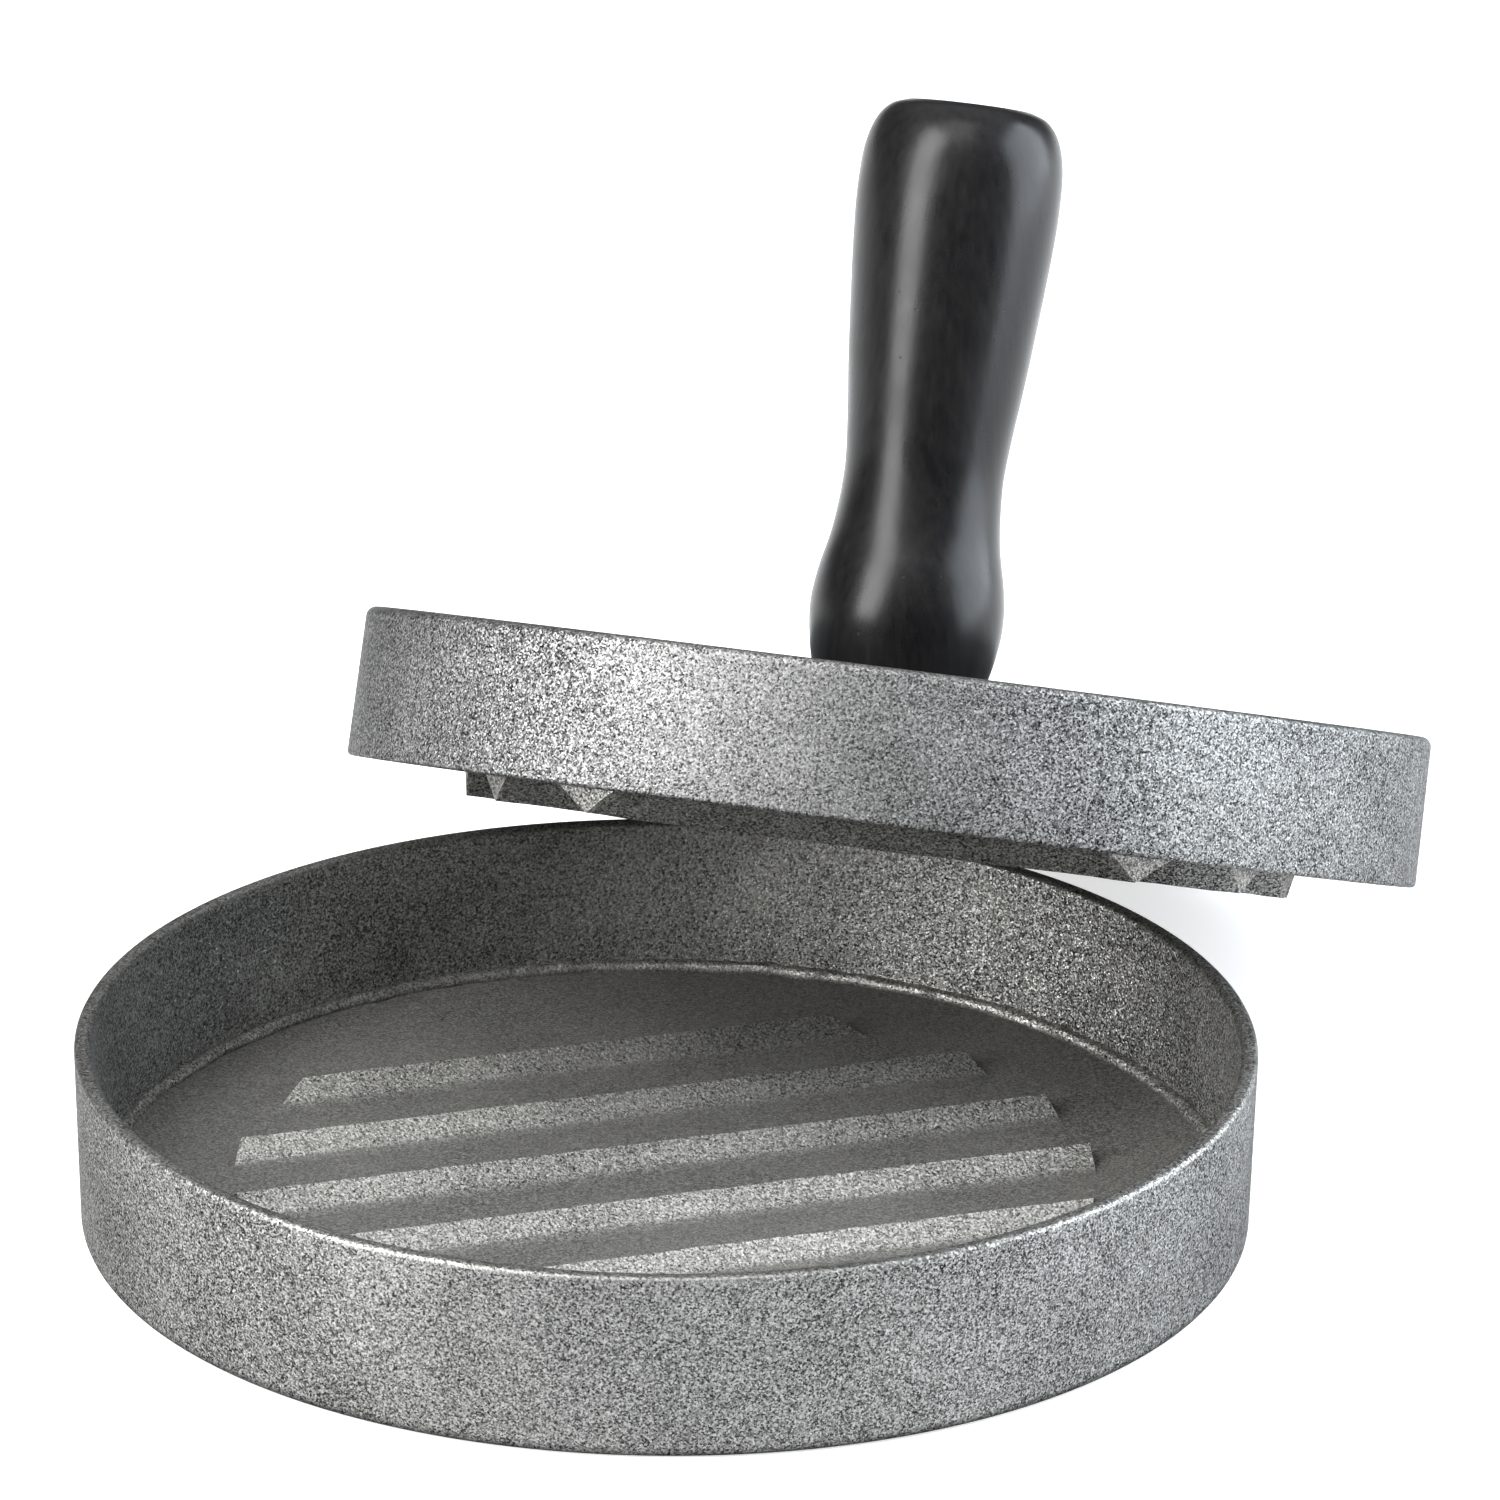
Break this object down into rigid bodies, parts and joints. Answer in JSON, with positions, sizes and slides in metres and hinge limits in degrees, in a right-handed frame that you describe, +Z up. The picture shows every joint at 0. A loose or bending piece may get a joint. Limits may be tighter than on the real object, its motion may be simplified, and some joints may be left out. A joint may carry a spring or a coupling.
{
  "type": "patty press",
  "caption": "Round cast mould with a ridged floor, and a ridged press plate with a turned wooden handle, the plate leaning on the mould's rim.",
  "frame": {"origin": "centre of the mould's flat underside, on the table", "axes": "+Z up; +Y from the mould's centre towards the side where the press plate leans; +X to the right of that"},
  "size_m": [0.1278, 0.1847, 0.0996],
  "materials": {
    "mould_casting": "sand-textured casting, matt with a fine sparkle",
    "plate_casting": "sand-textured casting, matt with a fine sparkle",
    "plated_steel": "zinc plated, satin",
    "brass": "turned, satin",
    "black_lacquered_wood": "black lacquer over turned wood, satin"
  },
  "bodies": {
    "mould": {"base_mould": "mould_casting"},
    "plate": {"press_plate": "plate_casting", "stud": "plated_steel"},
    "handle_washer": {"washer": "plated_steel"},
    "grip": {"handle": "black_lacquered_wood", "threaded_insert": "brass"}
  },
  "joints": [
    {"name": "plate_lift", "type": "slide", "parent": "mould", "child": "plate", "axis": [0, 0, 1], "range_m": [0, 0.12]},
    {"name": "handle_rise", "type": "slide", "parent": "plate", "child": "handle_washer", "axis": [0, 0.3786, 0.9255], "range_m": [0, 0.01]},
    {"name": "handle_turn", "type": "hinge", "parent": "handle_washer", "child": "grip", "pos_m": [0.00515, 0.0606, 0.023], "axis": [0, 0.3786, 0.9255], "range_deg": [0, 2880]}
  ],
  "couplings": [
    {"joint": "handle_rise", "follows": "handle_turn", "m_per_rad": 0.00019894}
  ]
}
